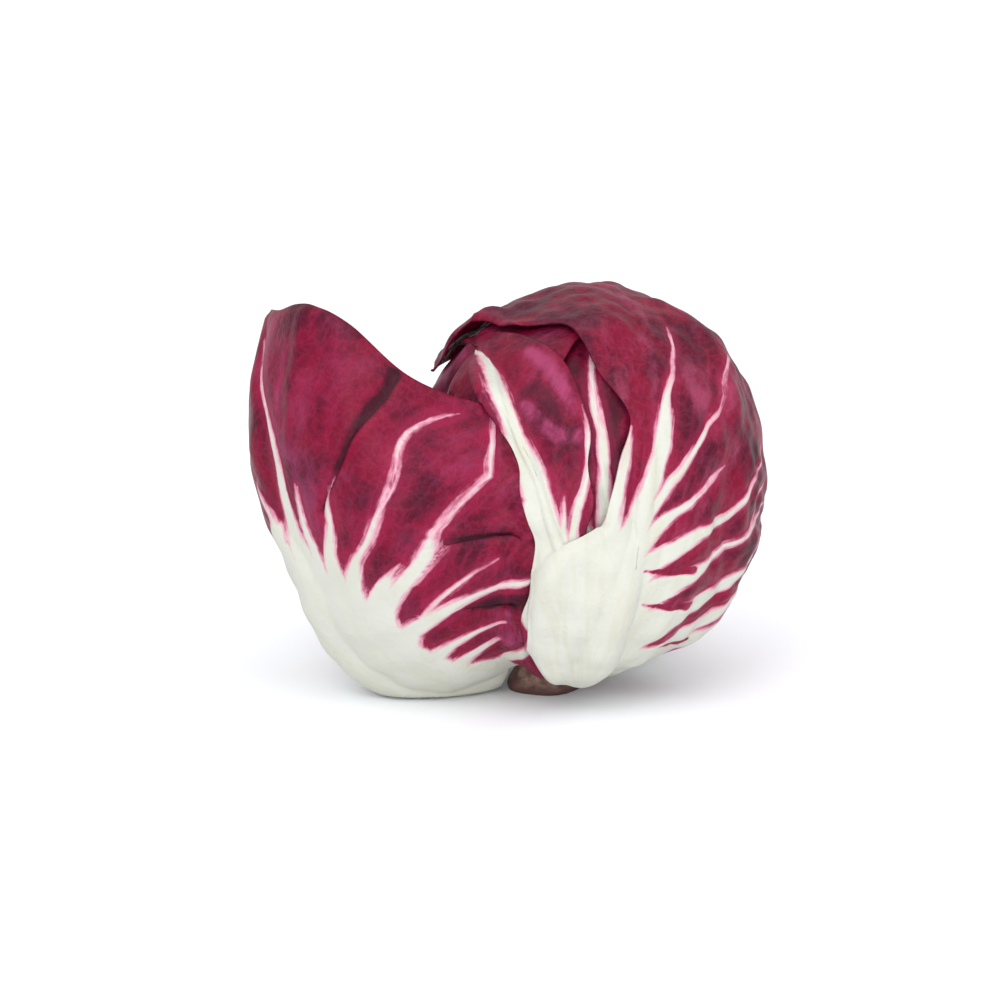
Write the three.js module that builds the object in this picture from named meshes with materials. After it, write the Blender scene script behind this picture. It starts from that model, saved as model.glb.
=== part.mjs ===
// A radicchio head with one outer leaf sprung open at its left, in millimetres, Z up.
// The origin is on the ground below the middle of the whole outline.
import * as THREE from "three";

const { sin, cos, sqrt, hypot, abs, min, max, atan2, asin, acos, PI } = Math;
const degree = PI / 180;

// The head: an egg about its centre, the stem's direction from that centre, and the share filled by the heart.
const headCentre = [23.68, 2.34, 60];
const headHalf = [56.3, 57, 62.5];
const headFullness = { upper: 2.25, lower: 2.5 };
const stemAim = [-13, -8, -60];
const heartShare = 0.862;

// Where the head is flatter: a way from its centre, the share lost there, and the angle over which it comes back.
const flats = [
  { way: stemAim, depth: 0.08, angle: 42 },
  { way: [-0.36, -0.15, 0.91], depth: 0.05, angle: 38 },
  { way: [0.7, -0.25, -0.66], depth: 0.035, angle: 55 },
];

// Leaves are laid one over the other with this much air between them. Past a margin the next leaf stays out over the
// first angle and settles back over the second.
const leafAir = 1.1;
const drapeFrom = 6;
const drapeAngle = 9;
const floorAir = 0.3;
const slopeStep = 0.5;
const columnSpread = 0.85;
const ribMost = 0.6;
const marginRipple = 0.8;

// The sprung leaf follows a taller egg that stands beside the head.
const sprungOffset = [-48, -8, 22];
const sprungHalf = [50.2, 50, 84];
const sprungBlend = 2;
const sprungReach = 7;
const tuckFrom = 0.4;
const tuckShare = 0.95;

// The cut stem: half angle of its cone, and along it the share of its length and of that angle at each ring.
const stemAngle = 11.2;
const stemSides = 28;
const stemRings = [[0, 0.84], [0.15, 0.92], [0.4, 0.9], [0.65, 0.93], [0.88, 0.98], [1, 0.9]];
const stemLobes = { count: 5, depth: 0.03 };
const stemAir = 0.4;

// The heart's packed leaves: how many wind round it, over what angle they climb, and how far each stands out.
const heart = { rows: 18, columns: 28, winds: 3, climb: 75, fold: 2.2 };

// Shares that a midrib loses from foot to tip, the angle that this takes, and how far a leaf bridges beside it.
const ribTaper = { width: 0.72, height: 0.85, over: 115 };
const ribBridge = { from: 1, to: 2.4 };

// A leaf stands off only near its margins, and again over the last part of its length.
const curlPower = 4;
const crownCurl = { from: 0.8, share: 0.6 };

// Leaves from the inside out. Angles are in degrees: theta runs from the stem over the side to the crown in the
// plane of the azimuth, psi is sideways from that plane. left, right and mid give psi at a theta, tip gives the last
// theta across the leaf from -1 at the left margin to 1 at the right one. rib is [height, half width] at the foot.
const leaves = [
  {
    name: "inner_leaf_front", azimuth: -95, start: 16, rows: 14, sides: [6, 6], blade: 1.0, rib: [1.5, 4.5], colour: 0x9c3055,
    left: [[16, -10], [60, -36], [100, -46], [140, -46], [172, -30]],
    right: [[16, 13], [60, 34], [100, 36], [140, 32], [172, 20]],
    mid: [[16, 2], [60, 12], [84, 11], [103, 2], [117, -3], [131, -7], [172, -12]],
    tip: [[-1, 162], [0, 170], [1, 164]],
    curl: 1.0, waves: 3,
  },
  {
    name: "back_leaf_left", azimuth: 122, start: 15, rows: 16, sides: [7, 7], blade: 1.1, rib: [2.2, 6], colour: 0x93304e,
    left: [[15, -13], [50, -44], [90, -58], [130, -54], [165, -34]],
    right: [[15, 13], [50, 44], [90, 58], [130, 52], [165, 34]],
    mid: [[15, 0], [90, 3], [165, -4]],
    tip: [[-1, 150], [0, 164], [1, 152]],
    curl: 1.2, waves: 4,
  },
  {
    name: "back_leaf_right", azimuth: 35, start: 15, rows: 16, sides: [8, 7], blade: 1.1, rib: [2.2, 6], colour: 0x96324f,
    heel: [4.6, 28, 50],
    left: [[15, -13], [50, -44], [90, -60], [130, -56], [172, -36]],
    right: [[15, 13], [50, 46], [90, 60], [130, 54], [172, 34]],
    mid: [[15, 0], [90, -3], [172, 5]],
    tip: [[-1, 160], [0, 172], [1, 160]],
    curl: 1.3, waves: 4,
  },
  {
    name: "left_leaf", azimuth: -160, start: 16, rows: 14, sides: [8, 6], blade: 1.0, rib: [1.6, 5], colour: 0x8a3a55,
    left: [[16, -12], [60, -46], [110, -58], [150, -48], [178, -30]],
    right: [[16, 12], [60, 40], [110, 42], [150, 28], [178, 12]],
    mid: [[16, 0], [110, -3], [178, -8]],
    tip: [[-1, 156], [0, 169], [1, 158]],
    curl: 1.2, waves: 3,
  },
  {
    name: "loose_leaf", azimuth: 196, start: 15, rows: 18, sides: [7, 10], blade: 1.2, rib: [3.8, 6], colour: 0xa5466a,
    left: [[15, -14], [35, -34], [60, -50], [90, -56], [115, -50]],
    right: [[15, 24], [25, 34], [35, 45], [47, 52], [60, 56], [74, 57], [95, 53], [109, 46], [118, 42]],
    mid: [[15, 0], [46, -1], [64, 4], [77, 2], [93, 0], [103, -6], [115, -10]],
    tip: [[-1, 86], [-0.5, 98], [-0.15, 105], [0, 106], [0.15, 107.5], [0.3, 110.5], [0.47, 111.5], [0.6, 109], [0.7, 110],
      [0.8, 113], [0.9, 115], [1, 115]],
    bow: [[15, 0], [62, 0], [80, 2.6], [92, 2.6], [106, 0], [125, 0]],
    curl: 0.6, waves: 3, sprung: true,
  },
  {
    name: "side_leaf", azimuth: -118, start: 15, rows: 16, sides: [3, 7], blade: 1.0, rib: [2.0, 3.2], colour: 0xa0405f,
    left: [[15, -6], [35, 7], [54, 15.5], [67, 15], [82, 10], [98, 1], [109, -10], [119, -21], [135, -33], [148, -47]],
    right: [[15, 14], [35, 22], [54, 26], [77, 26], [88, 25], [106, 21], [115, 17], [127, 6], [136, -9], [148, -42]],
    mid: [[15, 2], [35, 14], [54, 20], [68, 19], [83, 13], [99, 4], [112, -8], [125, -20], [135, -30], [148, -46]],
    tip: [[-1, 146], [1, 146]],
    foot: [[-1, 36], [1, 30]],
    curl: 0.5, waves: 2,
  },
  {
    name: "front_leaf", azimuth: -71, start: 15, rows: 22, sides: [5, 11], blade: 1.1, rib: [2.6, 7], colour: 0xa04465,
    left: [[15, -13], [33, -19], [49, -26], [62, -29], [71, -27], [78, -20], [85, -16.5], [96, -16], [112, -14],
      [125, -16], [139, -24], [153, -28], [163, -35], [175, -44], [200, -51], [212, -57], [230, -61]],
    right: [[15, 13], [33, 34], [50, 52], [70, 66], [90, 72], [120, 66], [150, 50], [180, 38], [228, 26]],
    mid: [[15, 0], [39, -2], [92, -5], [122, -7], [143, -5], [228, -8]],
    tip: [[-1, 221], [-0.8, 227], [-0.5, 227], [0, 210], [0.5, 192], [1, 172]],
    foot: [[-1, 35], [-0.4, 27], [0.1, 20], [0.4, 16], [1, 15]],
    curl: 1.0, waves: 5,
  },
];

const dot = (a, b) => a[0] * b[0] + a[1] * b[1] + a[2] * b[2];
const cross = (a, b) => [a[1] * b[2] - a[2] * b[1], a[2] * b[0] - a[0] * b[2], a[0] * b[1] - a[1] * b[0]];
const scaled = (a, k) => [a[0] * k, a[1] * k, a[2] * k];
const sum = (a, b) => [a[0] + b[0], a[1] + b[1], a[2] + b[2]];
const unit = (a) => scaled(a, 1 / hypot(...a));

const stemWay = unit(stemAim);

// Smooth line through [x, y] points.
function curve(points, x) {
  const last = points.length - 1;
  const slope = (i) => {
    const a = points[max(i - 1, 0)];
    const b = points[min(i + 1, last)];
    return (b[1] - a[1]) / (b[0] - a[0]);
  };
  let i = 0;
  while (i < last - 1 && x >= points[i + 1][0]) i += 1;
  const h = points[i + 1][0] - points[i][0];
  const s = min(max((x - points[i][0]) / h, 0), 1);
  return (1 + 2 * s) * (1 - s) ** 2 * points[i][1] + s * (1 - s) ** 2 * h * slope(i)
    + s * s * (3 - 2 * s) * points[i + 1][1] + s * s * (s - 1) * h * slope(i + 1);
}

function ease(x) {
  const s = min(max(x, 0), 1);
  return s * s * (3 - 2 * s);
}

// Distance along a ray from the head's centre to an egg with its own centre and half sizes.
function eggRadius(way, offset, half) {
  const d = way.map((v, i) => v / half[i]);
  const o = offset.map((v, i) => v / half[i]);
  const a = dot(d, d);
  const b = dot(d, o);
  return (b + sqrt(max(b * b - a * (dot(o, o) - 1), 0))) / a;
}

// The head is fuller than an egg, more so in its lower half, and drawn in at its flats.
function headRadius(way) {
  const power = way[2] > 0 ? headFullness.upper : headFullness.lower;
  const level = hypot(way[0] / headHalf[0], way[1] / headHalf[1]);
  const full = (level ** power + (abs(way[2]) / headHalf[2]) ** power) ** (-1 / power);
  return flats.reduce((radius, flat) => {
    const away = acos(min(max(dot(way, unit(flat.way)), -1), 1)) / degree;
    return radius * (1 - flat.depth * ease(1 - away / flat.angle));
  }, full);
}

for (const leaf of leaves) {
  const level = [cos(leaf.azimuth * degree), sin(leaf.azimuth * degree), 0];
  leaf.out = unit(sum(level, scaled(stemWay, -dot(level, stemWay))));
  leaf.aside = cross(leaf.out, stemWay);
  leaf.foot = leaf.foot || [[-1, leaf.start], [1, leaf.start]];
}

function wayOf(leaf, theta, psi) {
  const along = sum(scaled(stemWay, cos(theta * degree)), scaled(leaf.out, sin(theta * degree)));
  return sum(scaled(along, cos(psi * degree)), scaled(leaf.aside, sin(psi * degree)));
}

function anglesOf(leaf, way) {
  const psi = asin(min(max(dot(way, leaf.aside), -1), 1)) / degree;
  const theta = atan2(dot(way, leaf.out), dot(way, stemWay)) / degree;
  return [theta < -70 ? theta + 360 : theta, psi];
}

// Half width of the midrib in degrees: it narrows from the foot to the tip.
function ribAngle(leaf, theta) {
  return leaf.rib[1] * (1 - ribTaper.width * ease((theta - leaf.start) / ribTaper.over));
}

function ribHeight(leaf, theta) {
  return leaf.rib[0] * (1 - ribTaper.height * ease((theta - leaf.start) / ribTaper.over));
}

// The margins waver a little about their smooth lines.
function ripple(leaf, theta, phase) {
  return marginRipple * (sin(theta * 0.19 + leaf.azimuth + phase) + 0.6 * sin(theta * 0.31 + 2 * leaf.azimuth + phase));
}

function leftOf(leaf, theta) {
  return curve(leaf.left, theta) + ripple(leaf, theta, 0);
}

function rightOf(leaf, theta) {
  return curve(leaf.right, theta) + ripple(leaf, theta, 2);
}

// Place across the leaf: 0 on the midrib, -1 and 1 on the margins.
function acrossOf(leaf, theta, psi) {
  const mid = curve(leaf.mid, theta);
  const side = psi < mid ? mid - leftOf(leaf, theta) : rightOf(leaf, theta) - mid;
  return (psi - mid) / max(side, 0.5);
}

// The thick foot of a midrib, on which the head rests: its height, and the theta where it starts to fade and where
// it has gone.
function heelHeight(leaf, theta) {
  if (!leaf.heel) return 0;
  const [height, whole, end] = leaf.heel;
  return height * ease((end - theta) / (end - whole));
}

function thickness(leaf, theta, psi) {
  const s = abs(psi - curve(leaf.mid, theta)) / ribAngle(leaf, theta);
  return leaf.blade + (ribHeight(leaf, theta) + heelHeight(leaf, theta)) * max(1 - s * s, 0);
}

// The room that a leaf takes below the next one, which bridges both sides of its midrib.
function bulk(leaf, theta, psi) {
  const s = abs(psi - curve(leaf.mid, theta)) / ribAngle(leaf, theta);
  return leaf.blade + ribHeight(leaf, theta) * ease((ribBridge.to - s) / (ribBridge.to - ribBridge.from));
}

// A margin curls outwards in slow waves.
function curlLift(leaf, theta, psi) {
  const across = min(abs(acrossOf(leaf, theta, psi)), 1);
  const end = curve(leaf.tip, 0);
  const along = (theta - leaf.start) / (end - leaf.start);
  const wave = 0.5 + 0.5 * sin(along * leaf.waves * 2 * PI + leaf.azimuth);
  const margin = across ** curlPower * ease(along * 2.5);
  const crown = ease((along - crownCurl.from) / (1 - crownCurl.from)) * crownCurl.share;
  return leaf.curl * wave * max(margin, crown);
}

// 1 on the leaf, falling to 0 past its margins.
function cover(leaf, theta, psi) {
  const across = min(max(acrossOf(leaf, theta, psi), -1), 1);
  const past = [leftOf(leaf, theta) - psi, psi - rightOf(leaf, theta),
    theta - curve(leaf.tip, across), curve(leaf.foot, across) - theta];
  return past.reduce((share, angle) => share * ease(1 - (angle - drapeFrom) / drapeAngle), 1);
}

// How far the sprung leaf stands out from where it would lie. Its right margin is tucked back below the head's leaves.
function springLift(leaf, way, radius) {
  const [theta, psi] = anglesOf(leaf, way);
  const egg = eggRadius(way, sprungOffset, sprungHalf) - leaf.blade + curve(leaf.bow, theta);
  const tuck = 1 - tuckShare * ease((acrossOf(leaf, theta, psi) - tuckFrom) / (1 - tuckFrom));
  return tuck * (egg - radius + hypot(radius - egg, sprungBlend)) / 2;
}

// Inner radius of the leaf numbered count: the heart, and on it every leaf laid before this one. Leaves over the
// sprung one stay out with it only where they lie on it.
function layRadius(way, count) {
  let radius = headRadius(way) * heartShare;
  for (const leaf of leaves.slice(0, count)) {
    const [theta, psi] = anglesOf(leaf, way);
    const share = cover(leaf, theta, psi);
    let lift = curlLift(leaf, theta, psi);
    if (leaf.sprung) lift += min(springLift(leaf, way, radius), sprungReach) * ease(2 * share - 1);
    radius += (bulk(leaf, theta, psi) + leafAir + lift) * share;
  }
  return radius;
}

function innerPoint(leaf, count, theta, psi) {
  const way = wayOf(leaf, theta, psi);
  let radius = layRadius(way, count) + curlLift(leaf, theta, psi);
  if (leaf.sprung) radius += springLift(leaf, way, radius);
  if (way[2] < 0) {
    const room = (headCentre[2] - floorAir - thickness(leaf, theta, psi)) / -way[2];
    radius = min(radius, room);
  }
  return sum(headCentre, scaled(way, radius));
}

// Closed body from two sheets of points with the same grid: inner face, outer face and rim.
function shell(inner, outer, rows, columns) {
  const at = (i, j) => i * columns + j;
  const size = rows * columns;
  const faces = [];
  const quad = (a, b, c, d, flip) => {
    if (flip) faces.push(a, b, c, a, c, d);
    else faces.push(a, b, d, b, c, d);
  };
  for (let i = 0; i < rows - 1; i += 1) {
    for (let j = 0; j < columns - 1; j += 1) {
      const [a, b, c, d] = [at(i, j), at(i, j + 1), at(i + 1, j + 1), at(i + 1, j)];
      const flip = (i + j) % 2 === 0;
      quad(a + size, b + size, c + size, d + size, flip);
      if (flip) faces.push(a, c, b, a, d, c);
      else faces.push(a, d, b, b, d, c);
    }
  }
  const rim = [];
  for (let j = 0; j < columns - 1; j += 1) rim.push(at(0, j));
  for (let i = 0; i < rows - 1; i += 1) rim.push(at(i, columns - 1));
  for (let j = columns - 1; j > 0; j -= 1) rim.push(at(rows - 1, j));
  for (let i = rows - 1; i > 0; i -= 1) rim.push(at(i, 0));
  rim.forEach((a, k) => {
    const b = rim[(k + 1) % rim.length];
    faces.push(a, b, b + size, a, b + size, a + size);
  });
  return body([...inner, ...outer], faces);
}

function body(points, faces) {
  const geometry = new THREE.BufferGeometry();
  geometry.setAttribute("position", new THREE.Float32BufferAttribute(points.flat(), 3));
  geometry.setIndex(faces);
  geometry.computeVertexNormals();
  return geometry;
}

// Columns across a leaf: the margins, the blade, and three lines on the midrib.
function columnsOf(leaf, theta) {
  const mid = curve(leaf.mid, theta);
  const left = leftOf(leaf, theta);
  const right = rightOf(leaf, theta);
  const half = min(ribAngle(leaf, theta), (mid - left) * ribMost, (right - mid) * ribMost);
  const psi = [];
  const [near, far] = leaf.sides;
  for (let k = 0; k < near; k += 1) psi.push(left + (mid - half - left) * (k / near) ** columnSpread);
  psi.push(mid - half, mid, mid + half);
  for (let k = far - 1; k >= 0; k -= 1) psi.push(right - (right - mid - half) * (k / far) ** columnSpread);
  return psi;
}

function leafBody(leaf, count) {
  const columns = leaf.sides[0] + leaf.sides[1] + 3;
  const inner = [];
  const outer = [];
  for (let i = 0; i < leaf.rows; i += 1) {
    for (let j = 0; j < columns; j += 1) {
      const rough = curve(leaf.tip, j / (columns - 1) * 2 - 1);
      const across = acrossOf(leaf, rough, columnsOf(leaf, rough)[j]);
      const foot = curve(leaf.foot, across);
      const theta = foot + (curve(leaf.tip, across) - foot) * (i / (leaf.rows - 1));
      const psi = columnsOf(leaf, theta)[j];
      const near = (dTheta, dPsi) => innerPoint(leaf, count, theta + dTheta, psi + dPsi);
      const up = sum(near(slopeStep, 0), scaled(near(-slopeStep, 0), -1));
      const side = sum(near(0, slopeStep), scaled(near(0, -slopeStep), -1));
      inner.push(near(0, 0));
      outer.push(sum(near(0, 0), scaled(unit(cross(side, up)), thickness(leaf, theta, psi))));
    }
  }
  return shell(inner, outer, leaf.rows, columns);
}

// Rings of points about the stem's direction, closed with a point at either end.
function ringBody(rings, first, last) {
  const sides = rings[0].length;
  const points = [first, ...rings.flat(), last];
  const faces = [];
  const at = (i, j) => 1 + i * sides + (j % sides);
  for (let j = 0; j < sides; j += 1) {
    faces.push(0, at(0, j + 1), at(0, j));
    faces.push(points.length - 1, at(rings.length - 1, j), at(rings.length - 1, j + 1));
    for (let i = 0; i < rings.length - 1; i += 1) {
      faces.push(at(i, j), at(i, j + 1), at(i + 1, j + 1), at(i, j), at(i + 1, j + 1), at(i + 1, j));
    }
  }
  return body(points, faces);
}

function ringWay(theta, turn) {
  const side = sum(scaled(leaves[0].out, cos(turn)), scaled(leaves[0].aside, sin(turn)));
  return sum(scaled(stemWay, cos(theta * degree)), scaled(side, sin(theta * degree)));
}

// Packed young leaves: the surface steps down at each margin that winds up to the crown.
function heartRadius(way, theta, turn) {
  const winding = (turn / (2 * PI)) * heart.winds + theta / heart.climb;
  const step = winding - Math.floor(winding);
  const fold = heart.fold * ease(step / 0.8) * ease((1 - step) / 0.2) * ease(theta / 40);
  return headRadius(way) * heartShare - leafAir - heart.fold + fold;
}

function heartBody() {
  const rings = [];
  for (let i = 1; i < heart.rows; i += 1) {
    const theta = (180 * i) / heart.rows;
    rings.push(Array.from({ length: heart.columns }, (_, j) => {
      const turn = (2 * PI * j) / heart.columns;
      const way = ringWay(theta, turn);
      return sum(headCentre, scaled(way, heartRadius(way, theta, turn)));
    }));
  }
  const foot = sum(headCentre, scaled(stemWay, heartRadius(stemWay, 0, 0)));
  const top = scaled(stemWay, -1);
  const crown = sum(headCentre, scaled(top, heartRadius(top, 180, 0)));
  return ringBody(rings, foot, crown);
}

// The stem grows from the heart and ends in the flat cut.
function stemBody() {
  const near = heartShare * headRadius(stemWay) - leafAir + stemAir;
  const reach = (way, share) => near + (headCentre[2] / -way[2] - near) * share;
  const rings = stemRings.map(([share, width]) => Array.from({ length: stemSides }, (_, j) => {
    const turn = (2 * PI * j) / stemSides;
    const way = ringWay(stemAngle * width * (1 + stemLobes.depth * sin(turn * stemLobes.count)), turn);
    return sum(headCentre, scaled(way, reach(way, share)));
  }));
  const foot = sum(headCentre, scaled(stemWay, reach(stemWay, 0)));
  const cut = sum(headCentre, scaled(stemWay, reach(stemWay, 1)));
  return ringBody(rings.reverse(), cut, foot);
}

function part(name, geometry, colour, roughness) {
  const material = new THREE.MeshStandardMaterial({ color: colour, roughness, metalness: 0 });
  const mesh = new THREE.Mesh(geometry, material);
  mesh.name = name;
  return mesh;
}

const head = new THREE.Group();
head.name = "radicchio_head";
head.add(part("stem", stemBody(), 0x8a6a5c, 0.8));
head.add(part("heart", heartBody(), 0xb56a82, 0.6));
leaves.forEach((leaf, count) => head.add(part(leaf.name, leafBody(leaf, count), leaf.colour, 0.45)));

export default head;
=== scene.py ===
import bpy
import numpy as np
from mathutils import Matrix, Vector


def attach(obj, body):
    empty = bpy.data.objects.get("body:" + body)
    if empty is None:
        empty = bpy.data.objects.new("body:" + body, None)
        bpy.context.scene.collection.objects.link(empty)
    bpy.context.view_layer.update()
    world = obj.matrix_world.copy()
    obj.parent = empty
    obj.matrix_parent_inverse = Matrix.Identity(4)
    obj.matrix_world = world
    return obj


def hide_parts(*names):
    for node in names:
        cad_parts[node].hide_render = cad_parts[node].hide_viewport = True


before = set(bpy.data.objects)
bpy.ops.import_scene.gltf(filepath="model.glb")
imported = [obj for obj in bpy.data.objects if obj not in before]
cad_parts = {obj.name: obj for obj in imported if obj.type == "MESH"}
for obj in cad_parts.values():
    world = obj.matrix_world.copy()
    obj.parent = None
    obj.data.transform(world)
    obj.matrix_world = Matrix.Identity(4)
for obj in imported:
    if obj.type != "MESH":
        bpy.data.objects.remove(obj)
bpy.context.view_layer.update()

mm = 0.001
degree = np.pi / 180
rng = np.random.default_rng(7)
print("frame loaded:", ", ".join(sorted(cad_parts)))

# The whole head, in millimetres and degrees, as in the CAD
head = {
    "centre": (23.68, 2.34, 60.0),
    "half": (56.3, 57.0, 62.5),
    "fullness": (2.25, 2.5),  # of the upper and the lower half
    "stemAim": (-13.0, -8.0, -60.0),
    "heartShare": 0.862,
    "flats": [  # a way from the centre, the share drawn in there, and over what angle
        ((-13.0, -8.0, -60.0), 0.08, 42.0),
        ((-0.36, -0.15, 0.91), 0.05, 38.0),
        ((0.7, -0.25, -0.66), 0.035, 55.0),
    ],
    "leafAir": 1.1,
    "drape": (6.0, 9.0),  # a leaf stays out over the first angle past a margin, settles over the second
    "floorAir": 0.3,
    "ripple": (0.8, 0.19),  # height of a margin's slow waves and their turn, both by the degree
    "quickRipple": (0.6, 0.31),  # share and turn of its quicker waves
    "ribTaper": (0.72, 0.85, 115.0),  # shares of width and height lost, and over what angle
    "ribBridge": (1.0, 2.4),
    "curlRise": (4, 2.5),  # power of the curl's rise to a margin, and how fast it sets in above the foot
    "crownCurl": (0.8, 0.6),  # share of the length where the tip's curl starts, and its share of the curl
    "ringAzimuth": -95,  # where the rings of the stem and the heart start
    "sprungOffset": (-48.0, -8.0, 22.0),  # middle of the sprung leaf's ellipsoid, from the head's centre
    "sprungHalf": (50.2, 50.0, 84.0),
    "sprungBlend": 2.0,
    "sprungReach": 7.0,  # most that it lifts the leaves over it
    "tuck": (0.4, 0.95),  # share of its right half where the tuck starts, and share of the lift lost
    "marginThin": (0.5, 3.0),  # share of the blade left at a margin, and over how many mm
    "lowest": 0.15,  # of any outer face above the floor
}

# Surface of every blade, in mm
surface = {
    "lineStep": 2.5,  # degrees between the places where a vein or a stroke is worked out
    "lineGap": 7.7,  # between the streaks' noise of one line and of the next
    "fanFrom": -8,  # theta of the middle of the fan
    "unreached": -40.0,  # vein field before any line
    "deepest": -9,  # its least value, far from all veins
    "tongueCut": 2.2,  # mm of vein field that a tongue takes away for each mm of its own
    "swell": (0.3, 4, 0.5),  # gap beside a vein, way over which the blade swells, and its middle height
    "wave": (0.7, 0.16),  # share and length of the slow waves in the swelling
    "foldRise": (0.3, 4),  # share of a fold at the margin, and mm over which it becomes whole
    "ridgeLoss": 0.6,  # most that smoothing takes from a ridge
    "relief": 0.35,  # how far a vein stands out
    "reliefEdge": (1.2, 2.4),  # where a vein starts to rise outside its line, and over what way
}


def unit(a):
    # Divided by its own length
    return a / np.linalg.norm(a, axis=-1, keepdims=True)


def ease(x):
    # 3s^2 - 2s^3 with s held between 0 and 1
    s = np.clip(x, 0, 1)
    return s * s * (3 - 2 * s)


def smoothLine(points, x):
    # Cubic Hermite line through [x, y] points, each slope taken from both neighbours, level past the ends
    xs, ys = np.array(points, float).T
    before = np.maximum(np.arange(len(xs)) - 1, 0)
    after = np.minimum(np.arange(len(xs)) + 1, len(xs) - 1)
    slope = (ys[after] - ys[before]) / (xs[after] - xs[before])
    i = np.clip(np.searchsorted(xs, x, side="right") - 1, 0, len(xs) - 2)
    h = xs[i + 1] - xs[i]
    s = np.clip((x - xs[i]) / h, 0, 1)
    return ((1 + 2 * s) * (1 - s) ** 2 * ys[i] + s * (1 - s) ** 2 * h * slope[i]
            + s * s * (3 - 2 * s) * ys[i + 1] + s * s * (s - 1) * h * slope[i + 1])


stemWay = unit(np.array(head["stemAim"]))


def planeOf(azimuth):
    # The azimuth's level direction less its share along the stem, and its cross product with the stem
    level = np.array([np.cos(azimuth * degree), np.sin(azimuth * degree), 0])
    out = unit(level - stemWay * (level @ stemWay))
    return out, np.cross(out, stemWay)


def eggRadius(way, offset, half):
    # Distance along a ray to an ellipsoid: the larger root of |(r way - offset) / half| = 1
    d = way / np.array(half)
    o = np.array(offset) / np.array(half)
    a = (d * d).sum(-1)
    b = d @ o
    return (b + np.sqrt(np.maximum(b * b - a * (o @ o - 1), 0))) / a


def headRadius(way):
    # Superellipsoid: (level^p + height^p)^(-1/p), drawn in at its flats
    half = head["half"]
    power = np.where(way[..., 2] > 0, *head["fullness"])
    level = np.hypot(way[..., 0] / half[0], way[..., 1] / half[1])
    radius = (level ** power + (np.abs(way[..., 2]) / half[2]) ** power) ** (-1 / power)
    for middle, depth, angle in head["flats"]:
        away = np.arccos(np.clip(way @ unit(np.array(middle)), -1, 1)) / degree
        radius = radius * (1 - depth * ease(1 - away / angle))
    return radius


def wayOf(leaf, theta, psi):
    # Unit direction: theta turns from the stem towards the leaf, psi turns sideways
    t, p = (np.asarray(theta) * degree)[..., None], (np.asarray(psi) * degree)[..., None]
    return np.cos(p) * (np.cos(t) * stemWay + np.sin(t) * leaf["out"]) + np.sin(p) * leaf["aside"]


def anglesOf(leaf, way):
    # The opposite of wayOf: psi from the sideways share, theta from the other two
    psi = np.arcsin(np.clip(way @ leaf["aside"], -1, 1)) / degree
    theta = np.arctan2(way @ leaf["out"], way @ stemWay) / degree
    return np.where(theta < -70, theta + 360, theta), psi


def marginOf(leaf, side, theta):
    # Smooth margin line plus two sines, a slow and a quick one, each with the leaf's own phase
    start = 2 if side == "right" else 0
    height, turn = head["ripple"]
    share, quickTurn = head["quickRipple"]
    wave = np.sin(theta * turn + (leaf["azimuth"] + start))
    wave = wave + share * np.sin(theta * quickTurn + (2 * leaf["azimuth"] + start))
    return smoothLine(leaf[side], theta) + height * wave


def acrossOf(leaf, theta, psi):
    # 0 on the midrib, -1 and 1 on the margins
    mid = smoothLine(leaf["mid"], theta)
    side = np.where(psi < mid, mid - marginOf(leaf, "left", theta), marginOf(leaf, "right", theta) - mid)
    return (psi - mid) / np.maximum(side, 0.5)


def ribAt(leaf, theta, psi):
    # Rib height eased down from foot to tip, and distance from the midrib in half widths, eased down as well
    narrow, flat, over = head["ribTaper"]
    fade = ease((theta - leaf["start"]) / over)
    height = leaf["rib"][0] * (1 - flat * fade)
    return height, np.abs(psi - smoothLine(leaf["mid"], theta)) / (leaf["rib"][1] * (1 - narrow * fade))


def thickness(leaf, theta, psi):
    # Blade plus a rib of parabolic section, with the thick foot on which the head rests
    height, s = ribAt(leaf, theta, psi)
    foot, whole, end = leaf.get("heel", (0, 0, 1))
    height = height + foot * ease((end - theta) / (end - whole))
    return leaf["blade"] + height * np.maximum(1 - s * s, 0)


def bulk(leaf, theta, psi):
    # Room that a leaf takes below the next one, bridging both sides of its midrib
    height, s = ribAt(leaf, theta, psi)
    near, far = head["ribBridge"]
    return leaf["blade"] + height * ease((far - s) / (far - near))


def curlLift(leaf, theta, psi):
    # A sine along the leaf times the larger of two rises: a power across to the margin, an easing at the tip
    across = np.minimum(np.abs(acrossOf(leaf, theta, psi)), 1)
    along = (theta - leaf["start"]) / (smoothLine(leaf["tip"], 0.0) - leaf["start"])
    wave = 0.5 + 0.5 * np.sin(along * leaf["waves"] * 2 * np.pi + leaf["azimuth"])
    start, share = head["crownCurl"]
    crown = ease((along - start) / (1 - start)) * share
    power, quick = head["curlRise"]
    return leaf["curl"] * wave * np.maximum(across ** power * ease(along * quick), crown)


def cover(leaf, theta, psi, drape):
    # 1 on the leaf, eased to 0 past each margin, the tip and the foot, and the four multiplied
    across = np.clip(acrossOf(leaf, theta, psi), -1, 1)
    stay, settle = drape
    share = 1.0
    for past in (marginOf(leaf, "left", theta) - psi, psi - marginOf(leaf, "right", theta),
                 theta - smoothLine(leaf["tip"], across), smoothLine(leaf["foot"], across) - theta):
        share = share * ease(1 - (past - stay) / settle)
    return share


def springLift(leaf, way, radius):
    # How far the sprung leaf stands out: smooth maximum with an ellipsoid beside the head
    theta, psi = anglesOf(leaf, way)
    egg = eggRadius(way, head["sprungOffset"], head["sprungHalf"])
    egg = egg - leaf["blade"] + smoothLine(leaf["bow"], theta)
    start, share = head["tuck"]
    tuck = 1 - share * ease((acrossOf(leaf, theta, psi) - start) / (1 - start))
    return tuck * (egg - radius + np.hypot(radius - egg, head["sprungBlend"])) / 2


laid = []  # the leaves so far, from the inside out


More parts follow.
